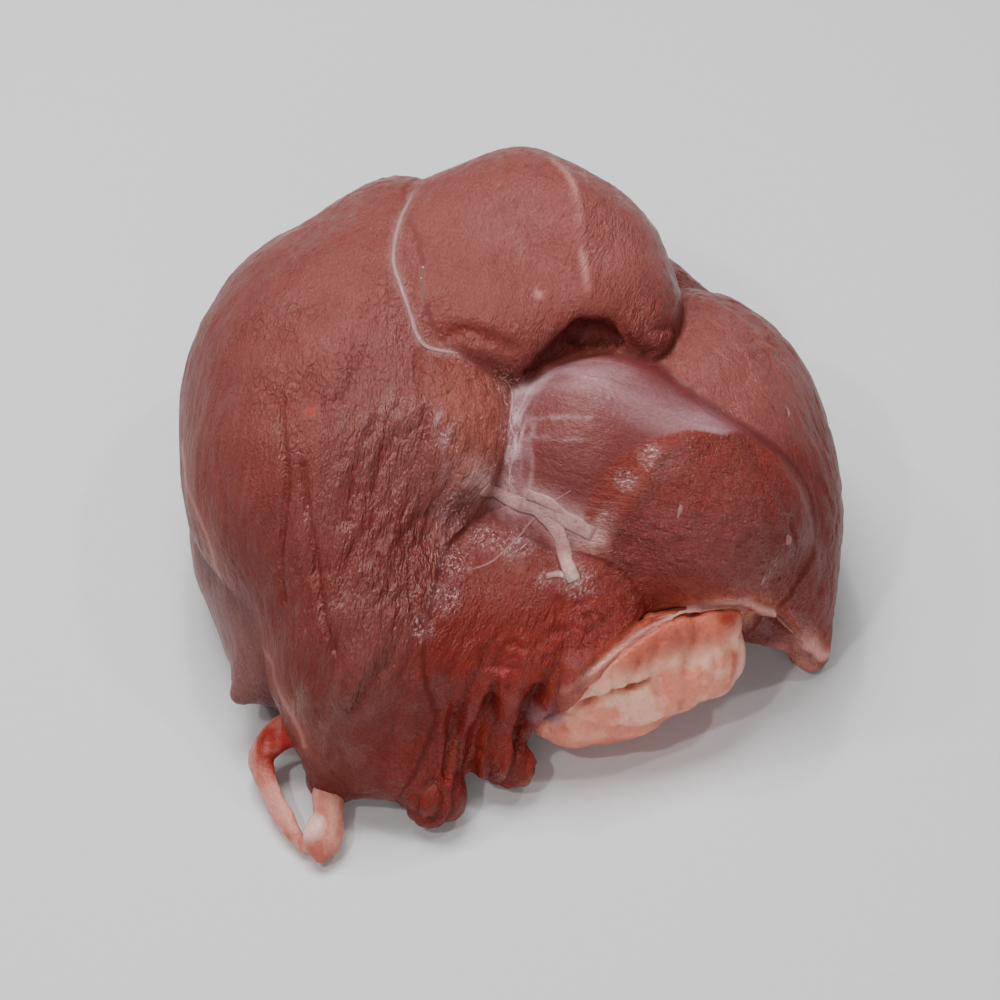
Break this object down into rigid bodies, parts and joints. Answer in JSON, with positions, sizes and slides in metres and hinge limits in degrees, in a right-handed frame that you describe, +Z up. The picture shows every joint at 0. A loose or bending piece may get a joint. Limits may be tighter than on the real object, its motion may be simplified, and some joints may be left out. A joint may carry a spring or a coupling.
{
  "type": "raw boneless veal joint",
  "caption": "Whole raw veal joint of several muscles with seams, a fat pad under the front edge, a forked tendon and two strips of sinew.",
  "frame": {"origin": "on the surface that the joint lies on, at a point of its flat underside near the middle", "axes": "+Z up from the surface; +X to the right and +Y to the back, seen from the side of the fat pad"},
  "size_m": [0.2182, 0.2305, 0.1181],
  "materials": {
    "muscle": "moist raw muscle with a soft sheen",
    "fat": "pale moist fat",
    "tendon": "pale wet tendon",
    "sinew": "translucent wet sinew"
  },
  "bodies": {
    "root": {"meat": "muscle", "fat_pad": "fat", "tendon": "tendon", "sinew_outer": "sinew", "sinew_inner": "sinew"}
  },
  "joints": []
}
